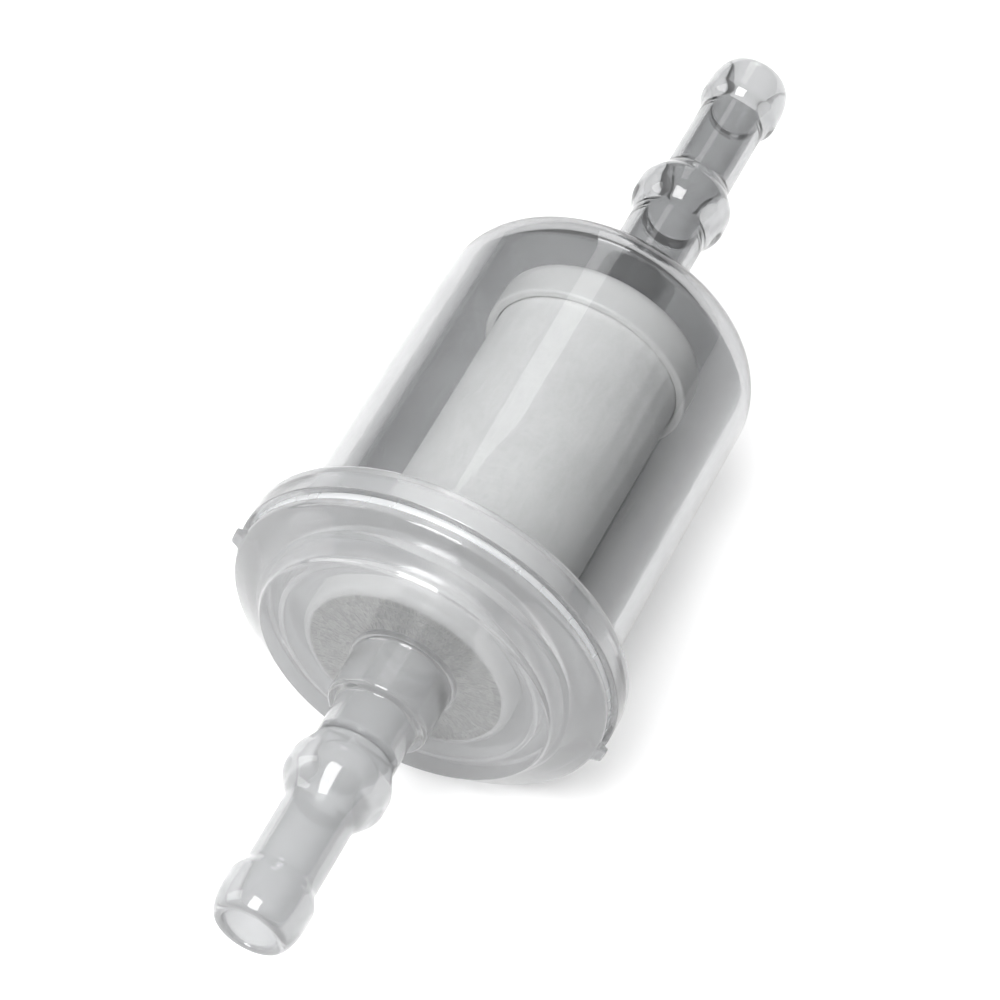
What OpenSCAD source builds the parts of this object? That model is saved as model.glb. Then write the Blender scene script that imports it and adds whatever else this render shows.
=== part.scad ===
// In-line fuel filter: a clear cup and a clear cap, spin-welded at a flange, each with a
// two-step hose nipple, around a fleece-wrapped pleated paper element on a perforated core.
// The flow axis is X. Fuel enters at +X, passes inwards through the element and leaves at -X.

/* [Cup] */
// Outside radius of the clear cup
body_r = 15; // [14:0.25:20]
// Length of the cup, from the weld joint to the root of the inlet nipple
body_l = 40.7; // [36:0.1:60]
// Wall thickness of the cup and the cap
wall = 1.4; // [1.1:0.1:1.6]
// Radius of the rounded shoulder at the end of the cup
shoulder_r = 5; // [4:0.25:6]
// Slope of the crowned end where it meets the shoulder, in degrees
end_slope = 14; // [8:1:18]
// How far the collar stands out from the cup
collar_out = 2.9; // [2.6:0.1:4]
// Length of the collar
collar_l = 3.2; // [2.8:0.1:6]

/* [Cap] */
// Depth of the cap's flat disc, from the weld joint
cap_l = 4; // [3.6:0.1:5]
// Radius of the flat disc, where the sloping rim starts
disc_r = 13.5; // [12.5:0.1:14]
// Thickness of the rim at its edge
rim_l = 1.1; // [1:0.1:1.6]
// How far the rim stands back from the collar
rim_in = 0.5; // [0.3:0.1:0.7]
// Width of the groove that the weld bead fills
groove = 0.7; // [0.5:0.1:0.8]
// Depth of that groove, from the collar
groove_in = 1; // [0.8:0.1:1.2]
// How far the two drive lugs stand out from the rim
lug_out = 0.8; // [0.6:0.1:1.5]
// Width of a drive lug
lug_w = 2; // [1.6:0.1:3]
// Angle of the drive lugs above the horizontal, in degrees
lug_angle = 18.5; // [0:0.5:90]
// Outside radius of the boss at the root of the outlet nipple
boss_r = 4.6; // [4.3:0.1:6]
// Length of that boss
boss_l = 5; // [3:0.1:6]

/* [Nipples] */
// Distance from the root of the inlet nipple to its large bead
inlet_step = 13.7; // [12:0.1:18]
// Distance from the cap's disc to the large bead of the outlet nipple
outlet_step = 12.2; // [11.5:0.1:18]
// Distance from the large bead to the mouth of the inlet nipple
inlet_small_l = 17.5; // [13:0.5:21]
// Distance from the large bead to the mouth of the outlet nipple
outlet_small_l = 15.8; // [13:0.5:21]
// Radius of the bore through the small steps
bore_r = 2.45; // [2:0.05:2.5]
// Radius of the bore through the large steps and the spigot
large_bore_r = 2.8; // [2.5:0.05:2.85]
// Radius of the large step, for an 8 mm hose
large_r = 3.7; // [3.6:0.1:4]
// Radius of the retaining bead on the large step
large_bead_r = 4.6; // [4.3:0.1:4.8]
// Radius of the small step, for a 6 mm hose
small_r = 3.2; // [3:0.1:3.4]
// Radius of the retaining bead at the tip
tip_bead_r = 3.85; // [3.6:0.05:4]

/* [Element] */
// Outside radius of the fleece sleeve
sleeve_r = 8.9; // [8:0.1:9.6]
// Thickness of the fleece
fleece_t = 0.5; // [0.3:0.1:0.8]
// Number of pleats in the paper
pleats = 28; // [20:1:34]
// Thickness of the paper
paper_t = 0.22; // [0.2:0.01:0.3]
// Outside radius of the support core
core_r = 5.2; // [5:0.1:5.6]
// Wall of the support core
core_wall = 0.7; // [0.6:0.1:0.8]
// Height of each element end cap
end_cap_l = 4; // [3.4:0.1:5]
// Wall of the element end caps
end_wall = 0.8; // [0.6:0.1:1]
// Thickness of the potting that bonds the pleats to an end cap
potting_t = 1; // [0.9:0.1:1.2]
// Free space between the element and the inside of the cup's end
end_gap = 2; // [1.2:0.1:3]
// Clearance between pieces that are assembled by hand
fit_gap = 0.05; // [0.04:0.01:0.08]
// Section diameter of the seal ring at the foot of the element
seal_d = 1.2; // [1:0.1:1.3]

/* [Hidden] */
$fn = 96;

// Radii of the shells
body_in_r = body_r - wall;
collar_r = body_r + collar_out;
rim_r = collar_r - rim_in;
groove_r = collar_r - groove_in;
plug_r = body_in_r - fit_gap;
plug_in_r = plug_r - wall;

// The end of the cup: a shoulder arc that runs into a spherical crown
shoulder_mid_r = body_r - shoulder_r;
crown_edge_r = shoulder_mid_r + shoulder_r * sin(end_slope);
crown_r = crown_edge_r / sin(end_slope);
root_fillet = 0.6;
root_angle = asin((large_r + root_fillet) / crown_r);
crown_mid_x = body_l - crown_r * cos(root_angle);
shoulder_x = crown_mid_x + (crown_r - shoulder_r) * cos(end_slope);

// The joint face lies at x = 0 while the pieces are drawn. This shift centres the whole.
inlet_tip_x = body_l + inlet_step + inlet_small_l;
outlet_tip_x = -cap_l - outlet_step - outlet_small_l;
shift_x = -(inlet_tip_x + outlet_tip_x) / 2;

// Shape of the beads on the nipples
bead_land = 1;                 // straight length at the top of each bead
bead_back_l = 2.8;             // slope of the large bead on the body side
bead_front_l = 3.2;            // rounded run from the large bead to the small step
tip_front_l = 2.9;             // rounded nose in front of the tip bead
tip_back_l = 1.8;              // slope of the tip bead on the body side
nose_r = small_r - 0.3;        // outside radius at the mouth
bore_step = 2.6;               // from the large bead to the start of the bore's taper
bore_taper_l = 1.4;            // length of that taper

// Stations of the element along x
cap_in_x = wall - cap_l;                         // inside of the cap's disc
elem_lo = cap_in_x;                              // foot of the element, on the cap
elem_hi = crown_mid_x + (crown_r - wall) * cos(end_slope) - end_gap;
paper_lo = elem_lo + end_wall + potting_t;
paper_hi = elem_hi - end_wall - potting_t;
skirt_in_r = sleeve_r + fit_gap;
skirt_r = skirt_in_r + end_wall;
paper_in_r = core_r + fit_gap;
paper_out_r = sleeve_r - fleece_t - fit_gap;
core_in_r = core_r - core_wall;

// The spigot inside the cap, which carries and seals the element
spigot_r = large_bore_r + 0.7;
spigot_top = elem_lo + 6.5;
socket_r = spigot_r + fit_gap;
neck_r = socket_r + 0.8;
neck_top = elem_lo + 5.5;
rebate_r = socket_r + seal_d;
rebate_top = elem_lo + seal_d;
core_windows = 6;
core_rings = 7;

// Points of a part circle in [radius, x]: centre, radius, start and end angle, steps.
function arc(mid, rad, a0, a1, n) =
    [for (i = [0:n]) let (a = a0 + (a1 - a0) * i / n) mid + rad * [cos(a), sin(a)]];

// A smooth run from one radius to another over the stations x0 to x1.
function run(r0, r1, x0, x1, n) =
    [for (i = [0:n]) let (t = i / n) [r0 + (r1 - r0) * (1 - cos(180 * t)) / 2, x0 + (x1 - x0) * t]];

// Outside, mouth and stepped bore of a nipple as [radius, distance], from its large bead on.
function nipple(step, small_l) = let (tip = step + small_l, tip_bead = tip - tip_front_l) concat(
    run(large_r, large_bead_r, step - bead_land / 2 - bead_back_l, step - bead_land / 2, 5),
    run(large_bead_r, small_r, step + bead_land / 2, step + bead_land / 2 + bead_front_l, 7),
    run(small_r, tip_bead_r, tip_bead - bead_land - tip_back_l, tip_bead - bead_land, 5),
    [for (i = [0:6]) let (a = 15 * i)
        [nose_r + (tip_bead_r - nose_r) * cos(a), tip_bead + tip_front_l * sin(a)]],
    [[bore_r + 0.3, tip], [bore_r, tip - 0.3], [bore_r, step + bore_step + bore_taper_l],
     [large_bore_r, step + bore_step]]);

// Moves nipple points to the face at x0, running towards +x (1) or -x (-1).
function placed(points, x0, way) = [for (p = points) [p[0], x0 + way * p[1]]];

// Puts anything drawn along +Z from the joint face onto the flow axis.
module on_axis() {
    translate([shift_x, 0, 0]) rotate([0, 90, 0]) children();
}

// Turns [radius, x] points about the flow axis.
module turned(points) {
    on_axis() rotate_extrude() polygon(points);
}

// A plain tube from x0 to x1.
module tube(x0, x1, outer, inner) {
    turned([[inner, x0], [outer, x0], [outer, x1], [inner, x1]]);
}

// Clear cup: collar, straight wall, rounded shoulder, crowned end and inlet nipple.
module housing_cup() {
    color("whitesmoke") turned(concat(
        [[body_in_r, 0], [groove_r, 0], [groove_r, groove / 2]],
        [[collar_r - 0.1, groove / 2], [collar_r, groove / 2 + 0.1]],
        arc([collar_r - 0.9, collar_l - 0.9], 0.9, 0, 90, 5),
        arc([body_r + 0.6, collar_l + 0.6], 0.6, -90, -180, 4),
        arc([shoulder_mid_r, shoulder_x], shoulder_r, 0, 90 - end_slope, 12),
        arc([0, crown_mid_x], crown_r, 90 - end_slope, 90 - root_angle, 6),
        arc([large_r + root_fillet, body_l + root_fillet], root_fillet, -90, -180, 4),
        placed(nipple(inlet_step, inlet_small_l), body_l, 1),
        [[large_bore_r, crown_mid_x + sqrt((crown_r - wall) ^ 2 - large_bore_r ^ 2)]],
        arc([0, crown_mid_x], crown_r - wall, 90 - root_angle, 90 - end_slope, 6),
        arc([shoulder_mid_r, shoulder_x], shoulder_r - wall, 90 - end_slope, 0, 10)));
}

// One of the two drive lugs that the welding tool turns the cap by.
module drive_lug(angle) {
    on_axis() rotate([0, 0, 90 + angle])
        translate([rim_r - 0.3, -lug_w / 2, 0.1 - rim_l])
            cube([lug_out + 0.3, lug_w, rim_l - 0.1 - groove / 2]);
}

// Clear cap: plug, rim, sloping wall, flat disc, boss, outlet nipple and inner spigot.
module outlet_cap() {
    color("whitesmoke") union() {
        turned(concat(
            [[plug_in_r, 1.2], [plug_r - 0.3, 1.2], [plug_r, 0.9], [plug_r, 0]],
            [[groove_r, 0], [groove_r, -groove / 2]],
            [[rim_r - 0.1, -groove / 2], [rim_r, -groove / 2 - 0.1]],
            arc([rim_r - 0.3, 0.3 - rim_l], 0.3, 0, -60, 3),
            [[disc_r + 0.2, 0.45 - cap_l]],
            arc([disc_r - 0.25, 0.25 - cap_l], 0.25, 0, -90, 3),
            arc([boss_r + 0.5, -cap_l - 0.5], 0.5, 90, 180, 4),
            arc([boss_r - 0.5, 0.5 - cap_l - boss_l], 0.5, 0, -90, 4),
            [[large_r, -cap_l - boss_l]],
            placed(nipple(outlet_step, outlet_small_l), -cap_l, -1),
            [[large_bore_r, spigot_top - 0.2], [large_bore_r + 0.2, spigot_top]],
            [[spigot_r - 0.2, spigot_top], [spigot_r, spigot_top - 0.2]],
            [[spigot_r, cap_in_x], [plug_in_r - 0.8, cap_in_x], [plug_in_r, cap_in_x + 0.8]]));
        drive_lug(lug_angle);
        drive_lug(lug_angle + 180);
    }
}

// Ring of re-set plastic in the groove between the collar and the rim.
module weld_bead() {
    color("gainsboro") turned(
        [[groove_r, -groove / 2], [rim_r - 0.2, -groove / 2], [rim_r - 0.05, 0],
         [rim_r - 0.05, groove / 2], [groove_r, groove / 2]]);
}

// Closed end cap of the element: a disc with a skirt and a rounded edge.
module upper_end_cap() {
    edge = 1.2;
    color("white") turned(concat(
        [[0, elem_hi - end_wall], [skirt_in_r, elem_hi - end_wall]],
        [[skirt_in_r, elem_hi - end_cap_l]],
        arc([skirt_r - 0.3, elem_hi - end_cap_l + 0.3], 0.3, -90, 0, 3),
        arc([skirt_r - edge, elem_hi - edge], edge, 0, 90, 7),
        [[0, elem_hi]]));
}

// Open end cap of the element: a skirt, a hub and a neck that slides on the spigot.
module lower_end_cap() {
    edge = 0.8;
    color("white") turned(concat(
        [[rebate_r, elem_lo]],
        arc([skirt_r - edge, elem_lo + edge], edge, -90, 0, 5),
        arc([skirt_r - 0.3, elem_lo + end_cap_l - 0.3], 0.3, 0, 90, 3),
        [[skirt_in_r, elem_lo + end_cap_l], [skirt_in_r, elem_lo + end_wall]],
        [[core_r, elem_lo + end_wall], [core_r, paper_lo], [neck_r, paper_lo]],
        [[neck_r, neck_top - 0.3], [neck_r - 0.3, neck_top], [socket_r, neck_top]],
        [[socket_r, rebate_top], [rebate_r, rebate_top]]));
}

// Non-woven sleeve wrapped round the pleats.
module fleece_sleeve() {
    color("white") tube(paper_lo, paper_hi, sleeve_r, sleeve_r - fleece_t);
}

// A corner of the folded paper: fold number, corner 0 to 3, and which face of the paper.
function fold_corner(i, k, outer) = let (
    crest = k < 2,
    r = crest ? paper_out_r - (outer ? 0 : paper_t) : paper_in_r + (outer ? paper_t : 0),
    flat = (crest ? 1 : 0.8) * (outer == crest ? 0.85 : 0.2),
    a = 360 / pleats * (i + (crest ? 0 : 0.5)) + (k % 2 == 0 ? -1 : 1) * asin(flat / 2 / r))
    [r * cos(a), r * sin(a)];

// Every corner of one face of the folded paper, in order round the axis.
function fold_outline(outer) = [for (i = [0:pleats - 1], k = [0:3]) fold_corner(i, k, outer)];

// Pleated filter paper, as one folded band.
module pleated_paper() {
    color("ivory") on_axis() translate([0, 0, paper_lo]) linear_extrude(paper_hi - paper_lo)
        difference() {
            polygon(fold_outline(true));
            polygon(fold_outline(false));
        }
}

// Adhesive that closes the lap seam of the paper, in the outer mouth of one fold.
module seam_strip() {
    a = fold_corner(0, 1, true);
    b = fold_corner(1, 0, true);
    color("khaki") on_axis() translate([0, 0, paper_lo]) linear_extrude(paper_hi - paper_lo)
        polygon([a, a + 0.3 * (fold_corner(0, 2, true) - a),
                 b + 0.3 * (fold_corner(0, 3, true) - b), b]);
}

// Perforated tube that keeps the pleats from collapsing inwards.
module support_core() {
    pitch = (paper_hi - paper_lo - 4) / core_rings;
    color("white") difference() {
        tube(paper_lo, paper_hi, core_r, core_in_r);
        on_axis() for (ring = [0:core_rings - 1], k = [0:core_windows / 2 - 1])
            translate([0, 0, paper_lo + 2 + pitch * (ring + 0.5)])
                rotate([0, 0, 360 / core_windows * k])
                    cube([3 * core_r, 2.8, pitch - 1.4], center = true);
    }
}

// Potting that bonds the paper, the core and the sleeve to the closed end cap.
module upper_potting() {
    color("wheat") turned([[0, paper_hi], [skirt_in_r, paper_hi],
                           [skirt_in_r, elem_hi - end_wall], [0, elem_hi - end_wall]]);
}

// The same at the open end, round the hub of the end cap.
module lower_potting() {
    color("wheat") tube(elem_lo + end_wall, paper_lo, skirt_in_r, core_r);
}

// Rubber seal ring between the spigot, the cap and the lower end cap.
module seal_ring() {
    color("dimgray") turned(
        [for (i = [0:23]) [(socket_r + rebate_r) / 2, (elem_lo + rebate_top) / 2]
            + (seal_d / 2 - 0.02) * [cos(15 * i), sin(15 * i)]]);
}

housing_cup();
outlet_cap();
weld_bead();
upper_end_cap();
lower_end_cap();
fleece_sleeve();
pleated_paper();
seam_strip();
support_core();
upper_potting();
lower_potting();
seal_ring();
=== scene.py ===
import math

import bpy
import numpy as np
from mathutils import Matrix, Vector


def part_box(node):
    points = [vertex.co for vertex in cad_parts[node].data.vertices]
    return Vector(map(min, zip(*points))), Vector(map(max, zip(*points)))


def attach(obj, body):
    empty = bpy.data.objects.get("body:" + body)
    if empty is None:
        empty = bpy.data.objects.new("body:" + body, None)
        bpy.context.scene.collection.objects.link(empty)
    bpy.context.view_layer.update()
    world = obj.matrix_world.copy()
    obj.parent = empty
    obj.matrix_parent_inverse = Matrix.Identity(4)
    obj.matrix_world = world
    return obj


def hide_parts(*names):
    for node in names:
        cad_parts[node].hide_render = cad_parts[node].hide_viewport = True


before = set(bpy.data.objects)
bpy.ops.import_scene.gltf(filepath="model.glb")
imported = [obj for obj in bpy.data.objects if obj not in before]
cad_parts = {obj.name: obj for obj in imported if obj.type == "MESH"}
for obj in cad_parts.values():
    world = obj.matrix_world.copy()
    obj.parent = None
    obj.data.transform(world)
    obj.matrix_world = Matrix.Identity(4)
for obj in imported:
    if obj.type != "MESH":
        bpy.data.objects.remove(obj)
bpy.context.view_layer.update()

MM = 0.001

# ---------------------------------------------------------------- sizes, from the CAD

cup_low, cup_high = (np.array(c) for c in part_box("housing_cup"))
cap_low, cap_high = (np.array(c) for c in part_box("outlet_cap"))
joint_x = cup_low[0] / MM                  # the face where the cup meets the cap
collar_r = cup_high[1] / MM
inlet_tip = cup_high[0] / MM - joint_x     # stations below count from the joint face
outlet_tip = cap_low[0] / MM - joint_x
spigot_top = cap_high[0] / MM - joint_x
upper_low, upper_high = (np.array(c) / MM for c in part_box("upper_end_cap"))
lower_low, lower_high = (np.array(c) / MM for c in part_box("lower_end_cap"))
sleeve_high = np.array(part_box("fleece_sleeve")[1]) / MM
paper_low, paper_high = (np.array(c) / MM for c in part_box("pleated_paper"))
core_high = np.array(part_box("support_core")[1]) / MM
ring_low, ring_high = (np.array(c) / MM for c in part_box("seal_ring"))
weld_high = np.array(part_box("weld_bead")[1]) / MM

WALL = 1.4
FIT_GAP = 0.05                             # clearance where one piece fits in another
JOINT_GAP = 0.01                           # keeps the clear faces of the joint apart
BODY_R = collar_r - 2.9
RIM_R = collar_r - 0.5
GROOVE, GROOVE_R = 0.7, collar_r - 1.0
COLLAR_L = 3.2
RIM_L = 1.1
BOSS_R, BOSS_L = 4.6, 5.0                  # boss at the root of the outlet nipple
DISC_R = 13.5                              # edge of the cap's flat disc
ROOT_FILLET = 0.6                          # where the inlet nipple leaves the crown
BORE_R, LARGE_BORE_R = 2.45, 2.8
SMALL_R, LARGE_R = 3.2, 3.7
TIP_BEAD_R, LARGE_BEAD_R = 3.85, 4.6
TIP_BEAD_L = 2.9                           # from the crest of the tip bead to the mouth
SPIGOT_R = LARGE_BORE_R + 0.7              # tube inside the cap that carries the element
INLET_BEAD, OUTLET_BEAD = inlet_tip - 17.5, outlet_tip + 15.8   # stations of the large beads
CUP_END = INLET_BEAD - 13.7                # root of the inlet nipple
CAP_FACE = OUTLET_BEAD + 12.2              # flat disc of the cap
SHOULDER_R, END_SLOPE = 5.0, math.radians(14.0)
LUG_ANGLE = math.radians(18.5)
LUG_OUT = 0.8                              # how far a lug stands out of the rim
PLEATS, PAPER_T, FLEECE_T = 28, 0.22, 0.5
END_CAP_L, END_WALL = 4.0, 0.8             # length and wall of the element's end caps
SEAL_D = 1.2                               # width and depth of the seal ring's seat

# ---------------------------------------------------------------- surfaces


def soften(corners, radii, steps=6):
    """Rounds each corner of a closed outline. A corner B between A' and C' becomes the curve
    (1-t)^2 A + 2t(1-t) B + t^2 C, where A and C lie on its two edges at the given distance."""
    b = np.asarray(corners, float)
    before, after = np.roll(b, 1, 0) - b, np.roll(b, -1, 0) - b
    len_a, len_c = (np.linalg.norm(v, axis=1) for v in (before, after))
    reach = np.minimum(np.asarray(radii, float), 0.49 * np.minimum(len_a, len_c))
    a = b + before * (reach / len_a)[:, None]
    c = b + after * (reach / len_c)[:, None]
    t = np.linspace(0, 1, steps)[None, :, None]
    curve = (1 - t) ** 2 * a[:, None] + 2 * t * (1 - t) * b[:, None] + t ** 2 * c[:, None]
    return curve.reshape(-1, 2)


def even(outline, step, closed=True):
    """Adds points along an outline so that none of its straight runs is longer than step: each
    run of length L gets ceil(L / step) equal parts. Points that coincide are dropped."""
    p = np.vstack([outline, outline[:1]]) if closed else np.asarray(outline, float)
    length = np.linalg.norm(np.diff(p, axis=0), axis=1)
    keep = np.concatenate([[True], length > 1e-5])
    p = p[keep]
    length = np.linalg.norm(np.diff(p, axis=0), axis=1)
    parts = np.maximum(1, np.ceil(length / step)).astype(int)
    run = np.repeat(np.arange(len(parts)), parts)
    first = np.concatenate([[0], np.cumsum(parts)[:-1]])
    t = (np.arange(parts.sum()) - first[run]) / parts[run]
    points = p[run] + (p[run + 1] - p[run]) * t[:, None]
    return points if closed else np.vstack([points, p[-1:]])


def blend_run(r0, r1, x0, x1, n=12):
    """A smooth change of radius: r = r0 + (r1 - r0)(1 - cos(pi t)) / 2 while x runs x0 to x1."""
    t = np.linspace(0, 1, n)
    return np.column_stack([x0 + (x1 - x0) * t, r0 + (r1 - r0) * (1 - np.cos(np.pi * t)) / 2])


def arc(mid, radius, start, end, n):
    """Part circle about mid = (x, r): x = mid x + radius sin(a), r = mid r + radius cos(a)."""
    a = np.radians(np.linspace(start, end, n))
    return np.column_stack([mid[0] + radius * np.sin(a), mid[1] + radius * np.cos(a)])


def nipple(step, tip):
    """Outline (distance, radius) of a stepped nipple from its large bead out to its mouth and
    back down the bore: smooth runs up to and down from each bead, a quarter ellipse for the
    nose, and one more smooth run where the bore widens under the large bead."""
    bead = tip - TIP_BEAD_L
    nose = SMALL_R - 0.3
    a = np.radians(np.linspace(0, 86, 14))
    front = np.column_stack([bead + TIP_BEAD_L * np.sin(a),
                             nose + (TIP_BEAD_R - nose) * np.cos(a)])
    mouth = np.array([[tip, nose - 0.08], [tip, BORE_R + 0.2], [tip - 0.06, BORE_R + 0.08],
                      [tip - 0.2, BORE_R]])
    return np.vstack([
        blend_run(LARGE_R, LARGE_BEAD_R, step - 3.3, step - 0.5),
        blend_run(LARGE_BEAD_R, SMALL_R, step + 0.5, step + 3.7, 16),
        blend_run(SMALL_R, TIP_BEAD_R, bead - 2.8, bead - 1.0),
        front, mouth,
        blend_run(BORE_R, LARGE_BORE_R, step + 4.0, step + 2.6, 8)])


def mesh_piece(name, verts, quads, smooth=True):
    """A mesh object from whole arrays: verts (n, 3) in millimetres, quads (m, 4) of indices.
    A quad whose last two corners are the same is a triangle. Where the enclosed volume, the
    sum of a . (b x c) / 6 over the triangles, comes out negative, every face is turned over."""
    mesh = bpy.data.meshes.new(name)
    verts, quads = np.asarray(verts, float), np.asarray(quads)
    a, b, c, d = (verts[quads[:, k]] for k in range(4))
    if np.sum(a * np.cross(b, c)) + np.sum(a * np.cross(c, d)) < 0:
        quads = quads[:, [1, 0, 3, 2]]
    tri = quads[:, 2] == quads[:, 3]
    sizes = np.where(tri, 3, 4)
    flat = quads[np.arange(4)[None, :] < sizes[:, None]]
    mesh.vertices.add(len(verts))
    mesh.vertices.foreach_set("co", (verts * MM).ravel())
    mesh.loops.add(len(flat))
    mesh.loops.foreach_set("vertex_index", flat)
    mesh.polygons.add(len(quads))
    mesh.polygons.foreach_set("loop_start", np.concatenate([[0], np.cumsum(sizes)[:-1]]))
    mesh.polygons.foreach_set("use_smooth", np.full(len(quads), smooth))
    mesh.update(calc_edges=True)
    mesh.validate()
    piece = bpy.data.objects.new(name, mesh)
    bpy.context.scene.collection.objects.link(piece)
    return piece


def ring_quads(n, m, closed_n=True):
    """Quads of an n by m grid that closes on itself along m, and along n if closed_n."""
    i, j = np.meshgrid(np.arange(n if closed_n else n - 1), np.arange(m), indexing="ij")
    i2, j2 = (i + 1) % n, (j + 1) % m
    return np.stack([i * m + j, i * m + j2, i2 * m + j2, i2 * m + j], -1).reshape(-1, 4)


def turned(name, outline, around=160, swell=None, extra=None):
    """A ring turned about the flow axis: each point (x, r) of a closed outline gives the circle
    (x, r cos a, r sin a). swell(x, r, a) may add to the radius, and extra gives more angles."""
    o = np.asarray(outline, float)
    a = np.arange(around) * 2 * np.pi / around
    if extra is not None:
        a = np.unique(np.round(np.concatenate([a, extra % (2 * np.pi)]), 6))
    x, r = o[:, 0][:, None] + joint_x, o[:, 1][:, None]
    rr = r + (swell(o[:, 0][:, None], r, a[None]) if swell else 0 * a[None])
    verts = np.stack([x + 0 * rr, rr * np.cos(a), rr * np.sin(a)], -1).reshape(-1, 3)
    return mesh_piece(name, verts, ring_quads(len(o), len(a)))


def turned_solid(name, outline, around=128):
    """As turned, for an open outline that starts and ends on the axis: its two end points
    become single vertices, each with a fan of triangles."""
    o = np.asarray(outline, float)
    a = np.arange(around) * 2 * np.pi / around
    x, r = o[1:-1, 0][:, None] + joint_x, o[1:-1, 1][:, None]
    ring = np.stack([x + 0 * a, r * np.cos(a), r * np.sin(a)], -1).reshape(-1, 3)
    n = len(o) - 2
    ends = np.array([[o[0, 0] + joint_x, 0, 0], [o[-1, 0] + joint_x, 0, 0]])
    j = np.arange(around)
    j2 = (j + 1) % around
    first, last = np.full(around, n * around), np.full(around, n * around + 1)
    fan_a = np.stack([j2, j, first, first], -1)
    top = (n - 1) * around
    fan_b = np.stack([top + j, top + j2, last, last], -1)
    return mesh_piece(name, np.vstack([ring, ends]),
                      np.vstack([ring_quads(n, around, False), fan_a, fan_b]))


# ---------------------------------------------------------------- the clear housing


def cup_outline():
    """Closed outline of the cup: collar, wall, shoulder arc, spherical crown, fillet, nipple,
    bore, then back inside at the wall's thickness."""
    steps = 7
    slope = math.degrees(END_SLOPE)
    edge_r = BODY_R - SHOULDER_R + SHOULDER_R * math.sin(END_SLOPE)
    crown_r = edge_r / math.sin(END_SLOPE)
    root = math.asin((LARGE_R + ROOT_FILLET) / crown_r)
    crown_x = CUP_END - crown_r * math.cos(root)
    shoulder_x = crown_x + (crown_r - SHOULDER_R) * math.cos(END_SLOPE)
    mid_r = BODY_R - SHOULDER_R
    root_deg = math.degrees(root)
    bore_x = crown_x + (crown_r - WALL) * math.cos(math.asin(LARGE_BORE_R / (crown_r - WALL)))
    # The last two corners only close the outline, so their points are left out again.
    collar = even(soften(
        [[JOINT_GAP, BODY_R - WALL], [JOINT_GAP, GROOVE_R], [GROOVE / 2, GROOVE_R],
         [GROOVE / 2, collar_r], [COLLAR_L, collar_r], [COLLAR_L, BODY_R],
         [COLLAR_L + 4, BODY_R], [COLLAR_L + 4, BODY_R - WALL]],
        [0.12, 0.05, 0.05, 0.15, 0.8, 0.6, 0, 0], steps)[:-2 * steps], 0.5, False)
    bore = np.array([[bore_x + 0.5, LARGE_BORE_R], [bore_x + 0.12, LARGE_BORE_R + 0.06],
                     [bore_x - 0.02, LARGE_BORE_R + 0.4]])
    return even(np.vstack([
        collar,
        arc((shoulder_x, mid_r), SHOULDER_R, 0, 90 - slope, 24),
        np.column_stack([crown_x + crown_r * np.cos(np.linspace(END_SLOPE, root, 10)),
                         crown_r * np.sin(np.linspace(END_SLOPE, root, 10))])[1:],
        arc((CUP_END + ROOT_FILLET, LARGE_R + ROOT_FILLET), ROOT_FILLET,
            -90 + root_deg, -180, 6)[1:],
        nipple(INLET_BEAD, inlet_tip), bore,
        np.column_stack([crown_x + (crown_r - WALL) * np.cos(np.linspace(0.08, END_SLOPE, 12)),
                         (crown_r - WALL) * np.sin(np.linspace(0.08, END_SLOPE, 12))]),
        arc((shoulder_x, mid_r), SHOULDER_R - WALL, 90 - slope, 0, 18)[1:]]), 1.2)


def cap_outline():
    """Closed outline of the cap: plug, rim, sloping wall, disc, boss, nipple, bore, spigot."""
    steps = 7
    plug_r = BODY_R - WALL - FIT_GAP
    plug_in = plug_r - WALL
    inside = CAP_FACE + WALL
    rim = soften(
        [[1.2, plug_in], [1.2, plug_r], [-JOINT_GAP, plug_r], [-JOINT_GAP, GROOVE_R],
         [-GROOVE / 2, GROOVE_R], [-GROOVE / 2, RIM_R], [-RIM_L, RIM_R],
         [CAP_FACE + 0.45, DISC_R + 0.2], [CAP_FACE, DISC_R], [CAP_FACE, BOSS_R],
         [CAP_FACE - BOSS_L, BOSS_R], [CAP_FACE - BOSS_L, LARGE_R - 0.02],
         [CAP_FACE - 9.2, LARGE_R]],
        [0.3, 0.35, 0.02, 0.05, 0.05, 0.15, 0.3, 0.3, 0.2, 0.5, 0.5, 0.3, 0], steps)
    shank = nipple(-OUTLET_BEAD, -outlet_tip)
    shank[:, 0] *= -1
    inner = soften(
        [[spigot_top - 1, LARGE_BORE_R], [spigot_top, LARGE_BORE_R], [spigot_top, SPIGOT_R],
         [inside, SPIGOT_R], [inside, plug_in], [1.0, plug_in]],
        [0, 0.3, 0.3, 0.3, 1.0, 0], steps)
    return even(np.vstack([rim[steps - 1:], shank[1:], inner]), 1.2)


def lug_swell(x, r, a):
    """Two opposite lugs on the rim: where x lies within the rim's edge and r is near the rim,
    the radius grows by 0.8 mm times a raised, flat-topped bump in angle, 2 mm wide."""
    turn = np.angle(np.exp(2j * (a - LUG_ANGLE))) / 2
    half = 1.0 / RIM_R                     # half the width of a lug, as an angle
    side = np.clip((half * 1.25 - np.abs(turn)) / (half * 0.5), 0, 1)
    front, rear = -RIM_L - 0.02, -GROOVE / 2 + 0.02
    along = np.clip((x - front) / 0.25, 0, 1) * np.clip((rear - x) / 0.1, 0, 1)
    reach = np.clip((r - RIM_R + 0.75) / 0.5, 0, 1)
    return LUG_OUT * (side * side * (3 - 2 * side)) * along * reach


across_lug = LUG_ANGLE + np.linspace(-0.09, 0.09, 25)   # angles close enough to shape a lug
cup = turned("clear_cup", cup_outline(), 176)
cap = turned("clear_cap", cap_outline(), 160, lug_swell,
             np.concatenate([across_lug, across_lug + math.pi]))


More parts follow.
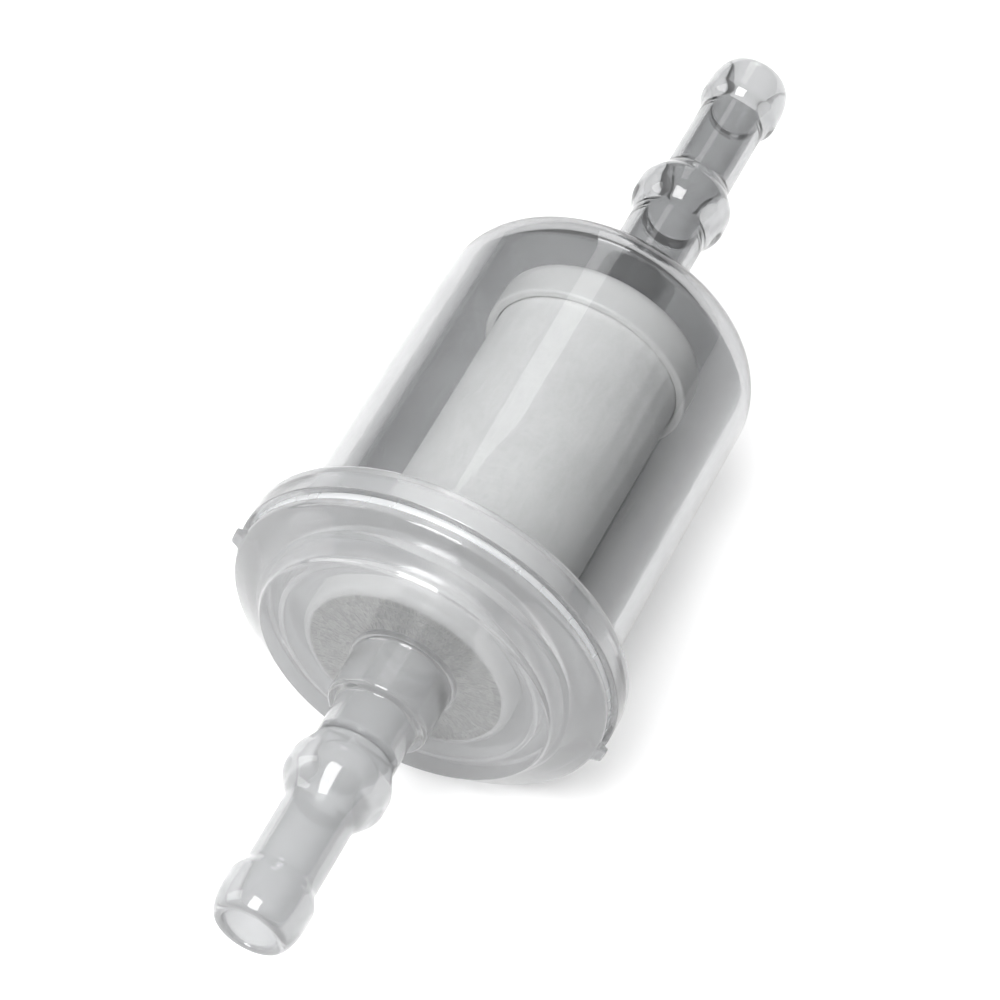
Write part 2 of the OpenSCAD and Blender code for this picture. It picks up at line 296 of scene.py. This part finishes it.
def weld_swell(x, r, a):
    """The flash of the weld is a little uneven: it lies back by 0.04 mm, more or less by the
    sum of two waves, sin 7a and sin 17a, round the ring."""
    outer = np.clip((r - collar_r + 0.5) / 0.3, 0, 1)
    return -0.04 * outer * (1 + 0.6 * np.sin(7 * a + 0.4) + 0.4 * np.sin(17 * a + 1.1))


weld = turned("weld_ring", even(soften(
    [[-0.33, GROOVE_R + 0.02], [-0.33, weld_high[1] - 0.15], [0, weld_high[1]],
     [0.33, weld_high[1]], [0.33, GROOVE_R + 0.02]],
    [0.05, 0.12, 0.2, 0.12, 0.05], 5), 0.3), 200, weld_swell)

# ---------------------------------------------------------------- the element

up_lo, up_hi = upper_low[0] - joint_x, upper_high[0] - joint_x
lo_lo = lower_low[0] - joint_x
skirt_r = upper_high[1]
skirt_in = skirt_r - END_WALL
neck_top = lower_high[0] - joint_x
pleat_lo, pleat_hi = paper_low[0] - joint_x, paper_high[0] - joint_x
sleeve_r = sleeve_high[1]
core_r = core_high[1]


def upper_outline():
    """Half outline of the closed end cap: a shallow dimple in the middle, a rounded edge, a
    skirt with a rounded lip, and the flat inside."""
    steps = 9
    out = soften(
        [[up_hi - 0.12, 0], [up_hi - 0.12, 3.0], [up_hi, 3.4], [up_hi, skirt_r],
         [up_lo, skirt_r], [up_lo, skirt_in], [up_hi - END_WALL, skirt_in],
         [up_hi - END_WALL, 0]],
        [0, 0.3, 0.3, 1.3, 0.3, 0.2, 0.15, 0], steps)
    return even(out[steps - 1:1 - steps], 0.6, False)


upper = turned_solid("element_cap_upper", upper_outline(), 144)

socket_r = SPIGOT_R + FIT_GAP
lower = turned("element_cap_lower", even(soften(
    [[lo_lo, socket_r + SEAL_D], [lo_lo, skirt_r], [lo_lo + END_CAP_L, skirt_r],
     [lo_lo + END_CAP_L, skirt_in], [lo_lo + END_WALL, skirt_in],
     [lo_lo + END_WALL, core_r], [pleat_lo, core_r],
     [pleat_lo, socket_r + 0.8], [neck_top, socket_r + 0.8], [neck_top, socket_r],
     [lo_lo + SEAL_D, socket_r], [lo_lo + SEAL_D, socket_r + SEAL_D]],
    [0.1, 0.8, 0.3, 0.2, 0.1, 0.1, 0.1, 0.1, 0.3, 0.2, 0.1, 0.1], 6), 0.8), 144)


def sleeve_swell(x, r, a):
    """The fleece follows the folds a little: cos(28 a) waves of 0.05 mm that fade and drift
    along the sleeve, and slow dents of 0.06 mm, all turned inwards from the drawn radius."""
    folds = 0.5 - 0.5 * np.cos(PLEATS * a + 0.35 * np.sin(x * 0.21))
    fade = 0.55 + 0.45 * np.sin(3 * a + 0.11 * x) * np.cos(2 * a - 0.07 * x)
    dents = 0.5 + 0.5 * np.sin(2 * a + 0.17 * x + 0.6 * np.sin(3 * a)) * np.cos(0.13 * x + a)
    return -(0.05 * folds * fade + 0.06 * dents) * np.clip((r - sleeve_r + 0.3) / 0.2, 0, 1)


closer = math.radians(168.0) + np.linspace(-0.02, 0.02, 5)   # a few angles set closer together
sleeve = turned("fleece_wrap", even(soften(
    [[pleat_lo, sleeve_r - FLEECE_T], [pleat_lo, sleeve_r], [pleat_hi, sleeve_r],
     [pleat_hi, sleeve_r - FLEECE_T]], [0.08, 0.12, 0.12, 0.08], 5), 0.7), 336, sleeve_swell,
    closer)


def folded_paper(inner, outer, thick, rows=9):
    """Pleated band. Its middle line is r = mean + half W(28 a), where W is a triangle wave
    rounded with arcsine(0.985 sine); each face lies half the thickness away along the line's
    normal, and rows of points run along the flow axis with a waviness of 0.03 mm."""
    n = PLEATS * 24
    a = np.arange(n) * 2 * np.pi / n
    mean, half = (inner + outer) / 2, (outer - inner - thick) / 2 - 0.04
    wave = np.arcsin(0.985 * np.sin(PLEATS * a)) / math.asin(0.985)
    v = np.linspace(0, 1, rows)[:, None]
    r = mean + half * wave[None] + 0.03 * np.sin(9 * v + 5 * a[None])
    line = np.stack([r * np.cos(a), r * np.sin(a)], -1)
    tangent = np.roll(line, -1, 1) - np.roll(line, 1, 1)
    tangent /= np.linalg.norm(tangent, axis=-1, keepdims=True)
    normal = np.stack([tangent[..., 1], -tangent[..., 0]], -1)
    x = joint_x + pleat_lo + (pleat_hi - pleat_lo) * v + 0 * r
    faces = [np.concatenate([x[..., None], line + s * thick / 2 * normal], -1) for s in (1, -1)]
    loop = np.concatenate([faces[1], faces[0][::-1]], 0)
    return mesh_piece("pleated_media", loop.reshape(-1, 3), ring_quads(2 * rows, n))


paper = folded_paper(core_r + FIT_GAP, sleeve_r - FLEECE_T - FIT_GAP, PAPER_T)

ring_mid = (ring_low[0] + ring_high[0]) / 2 - joint_x
ring_sec = (ring_high[0] - ring_low[0]) / 2
t = np.linspace(0, 2 * np.pi, 33)[:-1]
seal = turned("seal_band", np.column_stack(
    [ring_mid + ring_sec * np.sin(t), ring_high[1] - ring_sec + ring_sec * np.cos(t)]), 96)

# ---------------------------------------------------------------- materials


def new_group(name, inputs, outputs):
    """A shader node group with float inputs {name: default} and outputs {name: kind}."""
    tree = bpy.data.node_groups.new(name, "ShaderNodeTree")
    for key, value in inputs.items():
        item = tree.interface.new_socket(key, in_out="INPUT", socket_type="NodeSocketFloat")
        item.default_value = value
    for key, kind in outputs.items():
        tree.interface.new_socket(key, in_out="OUTPUT", socket_type=kind)
    start, end = tree.nodes.new("NodeGroupInput"), tree.nodes.new("NodeGroupOutput")
    return tree, start, end


def add(tree, kind, links=(), **values):
    """A node with properties set by name, and links given as (socket, source socket)."""
    node = tree.nodes.new(kind)
    for key, value in values.items():
        setattr(node, key, value)
    for target, source in links:
        if isinstance(source, bpy.types.NodeSocket):
            tree.links.new(source, node.inputs[target])
        else:
            node.inputs[target].default_value = source
    return node


def moulded_group():
    """Moulded plastic: long flow streaks along the part and small cloudy spots give Roughness
    between Low and High, and the same streaks with a fine orange peel give Height."""
    tree, start, end = new_group(
        "moulded_surface", {"Low": 0.05, "High": 0.15, "Streak": 1.0, "Peel": 1.0},
        {"Roughness": "NodeSocketFloat", "Height": "NodeSocketFloat", "Cloud": "NodeSocketFloat"})
    place = add(tree, "ShaderNodeTexCoord")
    flow = add(tree, "ShaderNodeMapping", [("Vector", place.outputs["Object"]),
                                          ("Scale", (60, 420, 420))])
    streaks = add(tree, "ShaderNodeTexNoise", [("Vector", flow.outputs[0]), ("Scale", 1.0),
                                               ("Detail", 3.0), ("Roughness", 0.55)])
    clouds = add(tree, "ShaderNodeTexNoise", [("Vector", place.outputs["Object"]),
                                              ("Scale", 160.0), ("Detail", 2.0)])
    peel = add(tree, "ShaderNodeTexNoise", [("Vector", place.outputs["Object"]),
                                            ("Scale", 900.0), ("Detail", 1.0)])
    both = add(tree, "ShaderNodeMath", [(0, streaks.outputs[0]), (1, clouds.outputs[0])],
               operation="MULTIPLY")
    spread = add(tree, "ShaderNodeMapRange", [
        ("Value", both.outputs[0]), ("From Min", 0.12), ("From Max", 0.42),
        ("To Min", start.outputs["Low"]), ("To Max", start.outputs["High"])])
    streak_h = add(tree, "ShaderNodeMath", [(0, streaks.outputs[0]), (1, start.outputs["Streak"])],
                   operation="MULTIPLY")
    peel_h = add(tree, "ShaderNodeMath", [(0, peel.outputs[0]), (1, start.outputs["Peel"])],
                 operation="MULTIPLY")
    height = add(tree, "ShaderNodeMath", [(0, streak_h.outputs[0]), (1, peel_h.outputs[0])],
                 operation="ADD")
    for key, source in (("Roughness", spread), ("Height", height), ("Cloud", clouds)):
        tree.links.new(source.outputs[0], end.inputs[key])
    return tree


def fibre_group():
    """Pressed fibres: stretched noise in two directions makes a mat whose Height is the fibres'
    relief, and whose Tone runs from 0 in the gaps to 1 on the fibres."""
    tree, start, end = new_group("fibre_mat", {"Scale": 1.0, "Blotch": 0.3},
                                 {"Tone": "NodeSocketFloat", "Height": "NodeSocketFloat"})
    place = add(tree, "ShaderNodeTexCoord")
    mats = []
    for turn, stretch in (((0.3, 0.2, 0.5), (500, 3200, 2600)), ((0.9, 0.4, -0.6), (2800, 600, 3000))):
        spin = add(tree, "ShaderNodeMapping", [("Vector", place.outputs["Object"]),
                                              ("Rotation", turn), ("Scale", stretch)])
        mats.append(add(tree, "ShaderNodeTexNoise", [
            ("Vector", spin.outputs[0]), ("Scale", start.outputs["Scale"]), ("Detail", 2.0),
            ("Roughness", 0.6)]))
    mix = add(tree, "ShaderNodeMath", [(0, mats[0].outputs[0]), (1, mats[1].outputs[0])],
              operation="MAXIMUM")
    blotch = add(tree, "ShaderNodeTexNoise", [("Vector", place.outputs["Object"]),
                                              ("Scale", 220.0), ("Detail", 3.0)])
    soft = add(tree, "ShaderNodeMath", [(0, blotch.outputs[0]), (1, start.outputs["Blotch"]),
                                        (2, mix.outputs[0])], operation="MULTIPLY_ADD")
    tone = add(tree, "ShaderNodeMapRange", [("Value", soft.outputs[0]), ("From Min", 0.45),
                                            ("From Max", 0.95)])
    tree.links.new(tone.outputs[0], end.inputs["Tone"])
    tree.links.new(mix.outputs[0], end.inputs["Height"])
    return tree


def worn_edge_group():
    """Edge mask: pointiness above the flat value, broken up by noise, from 0 to 1."""
    tree, start, end = new_group("worn_edge", {"From": 0.51, "To": 0.58},
                                 {"Mask": "NodeSocketFloat"})
    shape = add(tree, "ShaderNodeNewGeometry")
    place = add(tree, "ShaderNodeTexCoord")
    grit = add(tree, "ShaderNodeTexNoise", [("Vector", place.outputs["Object"]), ("Scale", 700.0)])
    shifted = add(tree, "ShaderNodeMath", [(0, grit.outputs[0]), (1, 0.05),
                                           (2, shape.outputs["Pointiness"])],
                  operation="MULTIPLY_ADD")
    mask = add(tree, "ShaderNodeMapRange", [
        ("Value", shifted.outputs[0]), ("From Min", start.outputs["From"]),
        ("From Max", start.outputs["To"])])
    tree.links.new(mask.outputs[0], end.inputs["Mask"])
    return tree


moulded, fibres, worn = moulded_group(), fibre_group(), worn_edge_group()


def place_group(tree, group, **values):
    node = tree.nodes.new("ShaderNodeGroup")
    node.node_tree = group
    for key, value in values.items():
        node.inputs[key].default_value = value
    return node


def shader_material(name):
    mat = bpy.data.materials.new(name)
    mat.use_nodes = True
    return mat, mat.node_tree, mat.node_tree.nodes["Principled BSDF"]


def colour_between(tree, factor, low, high):
    node = add(tree, "ShaderNodeMix", data_type="RGBA")
    tree.links.new(factor, node.inputs[0])
    node.inputs[6].default_value = (*low, 1)
    node.inputs[7].default_value = (*high, 1)
    return node.outputs[2]


def bump(tree, shader, height, depth, strength=1.0):
    node = add(tree, "ShaderNodeBump", [("Height", height), ("Distance", depth),
                                        ("Strength", strength)])
    tree.links.new(node.outputs[0], shader.inputs["Normal"])


def plastic(name, dark, light, low, high, clear=0.0, ior=1.5, peel=1.0, depth=2e-6, edge=None,
            shade=0.0):
    """Moulded plastic between two colours, with its roughness range; clear is the part of the
    light that goes through. edge is the colour of rubbed edges. Each face of a clear piece
    holds back only the part shade of the lamps' light, so that what is inside is lit."""
    mat, tree, shader = shader_material(name)
    skin = place_group(tree, moulded, Low=low, High=high, Peel=peel)
    colour = colour_between(tree, skin.outputs["Cloud"], dark, light)
    if edge is not None:
        rub = place_group(tree, worn)
        mix = add(tree, "ShaderNodeMix", data_type="RGBA")
        tree.links.new(rub.outputs[0], mix.inputs[0])
        tree.links.new(colour, mix.inputs[6])
        mix.inputs[7].default_value = (*edge, 1)
        colour = mix.outputs[2]
    tree.links.new(colour, shader.inputs["Base Color"])
    tree.links.new(skin.outputs["Roughness"], shader.inputs["Roughness"])
    shader.inputs["Transmission Weight"].default_value = clear
    shader.inputs["IOR"].default_value = ior
    bump(tree, shader, skin.outputs["Height"], depth)
    if shade:
        ray = add(tree, "ShaderNodeLightPath")
        hold = add(tree, "ShaderNodeMath", [(0, ray.outputs["Is Shadow Ray"]), (1, shade - 1),
                                            (2, 1.0)], operation="MULTIPLY_ADD")
        tree.links.new(hold.outputs[0], shader.inputs["Alpha"])
    return mat


def cloth(name, dark, light, scale, rough, depth, blotch=0.3, sheen=0.0):
    """Fibrous sheet, such as fleece or paper: tone and relief come from the fibre mat."""
    mat, tree, shader = shader_material(name)
    mat_of_fibres = place_group(tree, fibres, Scale=scale, Blotch=blotch)
    tree.links.new(colour_between(tree, mat_of_fibres.outputs["Tone"], dark, light),
                   shader.inputs["Base Color"])
    shader.inputs["Roughness"].default_value = rough
    shader.inputs["Sheen Weight"].default_value = sheen
    bump(tree, shader, mat_of_fibres.outputs["Height"], depth)
    return mat


clear_cup_mat = plastic("clear_cup_plastic", (0.42, 0.425, 0.43), (0.51, 0.515, 0.52),
                        0.01, 0.05, clear=0.97, ior=1.5, peel=0.3, shade=0.2)
clear_cap_mat = plastic("clear_cap_plastic", (0.48, 0.485, 0.49), (0.57, 0.575, 0.58),
                        0.08, 0.16, clear=0.74, ior=1.5, peel=0.12, shade=0.2)
weld_mat = plastic("weld_flash", (0.78, 0.79, 0.80), (0.88, 0.89, 0.90),
                   0.2, 0.4, clear=0.6, peel=2.0, depth=6e-6)
white_cap_mat = plastic("element_cap_plastic", (0.80, 0.80, 0.79), (0.88, 0.88, 0.87),
                        0.32, 0.5, peel=0.4, depth=2e-6)
core_mat = plastic("core_plastic", (0.74, 0.75, 0.74), (0.84, 0.85, 0.84),
                   0.35, 0.55, depth=5e-6, edge=(0.9, 0.9, 0.9))
potting_mat = plastic("potting_resin", (0.70, 0.62, 0.42), (0.84, 0.78, 0.60),
                      0.15, 0.4, depth=8e-6, edge=(0.88, 0.83, 0.68))
rubber_mat = plastic("seal_rubber", (0.015, 0.015, 0.016), (0.03, 0.03, 0.032),
                     0.4, 0.6, peel=2.0, depth=4e-6, edge=(0.06, 0.06, 0.06))
fleece_mat = cloth("fleece", (0.80, 0.80, 0.79), (0.93, 0.93, 0.92), 1.0, 0.85, 2.5e-5, sheen=0.2)
paper_mat = cloth("filter_paper", (0.74, 0.66, 0.46), (0.88, 0.82, 0.64), 1.6, 0.8, 1.5e-5, 0.5)


def finish_piece(piece, material, slot, *nodes):
    """Gives a piece its material, hangs it under the root body and hides the CAD nodes it stands for.
    The slot argument is not used.
    """
    piece.data.materials.append(material)
    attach(piece, "root")
    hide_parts(*nodes)


finish_piece(cup, clear_cup_mat, "clear_cup", "housing_cup")
cup.data.materials.append(clear_cap_mat)   # the thick collar looks as milky as the cap
middles = np.empty(3 * len(cup.data.polygons))
cup.data.polygons.foreach_get("center", middles)
in_collar = middles[::3] / MM - joint_x < COLLAR_L + 0.4
cup.data.polygons.foreach_set("material_index", in_collar.astype(np.int32))
finish_piece(cap, clear_cap_mat, "clear_cap", "outlet_cap")
finish_piece(weld, weld_mat, "weld", "weld_bead")
finish_piece(upper, white_cap_mat, "end_cap_white", "upper_end_cap")
finish_piece(lower, white_cap_mat, "end_cap_white", "lower_end_cap")
finish_piece(sleeve, fleece_mat, "fleece", "fleece_sleeve")
finish_piece(paper, paper_mat, "filter_paper", "pleated_paper")
finish_piece(seal, rubber_mat, "seal_rubber", "seal_ring")

for node, material in (("support_core", core_mat), ("upper_potting", potting_mat),
                       ("lower_potting", potting_mat), ("seam_strip", potting_mat)):
    for material_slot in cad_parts[node].material_slots:
        material_slot.material = material

# ---------------------------------------------------------------- floor, light and camera

floor_z = cap_low[2] - 0.2 * MM            # just under the collar and the rim
floor_side = 3.0
bpy.ops.mesh.primitive_plane_add(size=floor_side, location=(0, 0, floor_z))
floor = bpy.context.object
floor.name = "floor"
floor_mat, floor_tree, floor_shader = shader_material("pale_floor")
floor_shader.inputs["Base Color"].default_value = (0.86, 0.86, 0.86, 1)
floor_shader.inputs["Roughness"].default_value = 0.9
floor_shader.inputs["Specular IOR Level"].default_value = 0.1
floor.data.materials.append(floor_mat)

world = bpy.data.worlds.new("studio")
bpy.context.scene.world = world
world.use_nodes = True
sky = world.node_tree
toward = add(sky, "ShaderNodeTexCoord")
height = add(sky, "ShaderNodeSeparateXYZ", [("Vector", toward.outputs["Generated"])])
fade = add(sky, "ShaderNodeMapRange", [
    ("Value", height.outputs["Z"]), ("From Min", 0.0), ("From Max", 0.8),
    ("To Min", 0.15), ("To Max", 0.6)], interpolation_type="SMOOTHSTEP")
sky.links.new(fade.outputs[0], sky.nodes["Background"].inputs["Strength"])
sky.nodes["Background"].inputs["Color"].default_value = (1, 1, 1, 1)


def softbox(name, place, size_x, size_y, power):
    """A rectangular soft light at place (metres) that faces the middle of the part."""
    light = bpy.data.lights.new(name, "AREA")
    light.shape, light.size, light.size_y, light.energy = "RECTANGLE", size_x, size_y, power
    lamp = bpy.data.objects.new(name, light)
    bpy.context.scene.collection.objects.link(lamp)
    back = np.array(place, float) / np.linalg.norm(place)
    right = np.cross((0, 0, 1), back)
    right /= np.linalg.norm(right)
    up = np.cross(back, right)
    lamp.matrix_world = Matrix(
        [[right[k], up[k], back[k], place[k]] for k in range(3)] + [[0, 0, 0, 1]])
    return lamp


softbox("key", (-0.27, 0.04, 0.6), 0.3, 0.5, 6.0)
softbox("side", (-0.1, 0.6, 0.3), 0.25, 0.5, 1.2)
softbox("back_strip", (0.55, 0.1, 0.35), 0.15, 0.6, 0.4)

# The camera looks from the cap's end, left of the flow axis and well above it.
azimuth, elevation = math.radians(-64.8), math.radians(51.9)
back = np.array([math.sin(azimuth) * math.cos(elevation),
                 -math.cos(azimuth) * math.cos(elevation), math.sin(elevation)])
right = np.array([math.cos(azimuth), math.sin(azimuth), 0])
up = np.cross(back, right)
distance, shift_right, shift_up = 338.2, 6.53, 11.76
eye = (np.array([joint_x, 0, 0]) + shift_right * right + shift_up * up + distance * back) * MM
lens = bpy.data.cameras.new("camera")
lens.lens, lens.sensor_width = 144.07, 36.0
lens.clip_start = 0.01
camera = bpy.data.objects.new("camera", lens)
bpy.context.scene.collection.objects.link(camera)
camera.matrix_world = Matrix(
    [[right[k], up[k], back[k], eye[k]] for k in range(3)] + [[0, 0, 0, 1]])
bpy.context.scene.camera = camera

bpy.context.scene.view_settings.view_transform = "Standard"

bpy.context.view_layer.update()
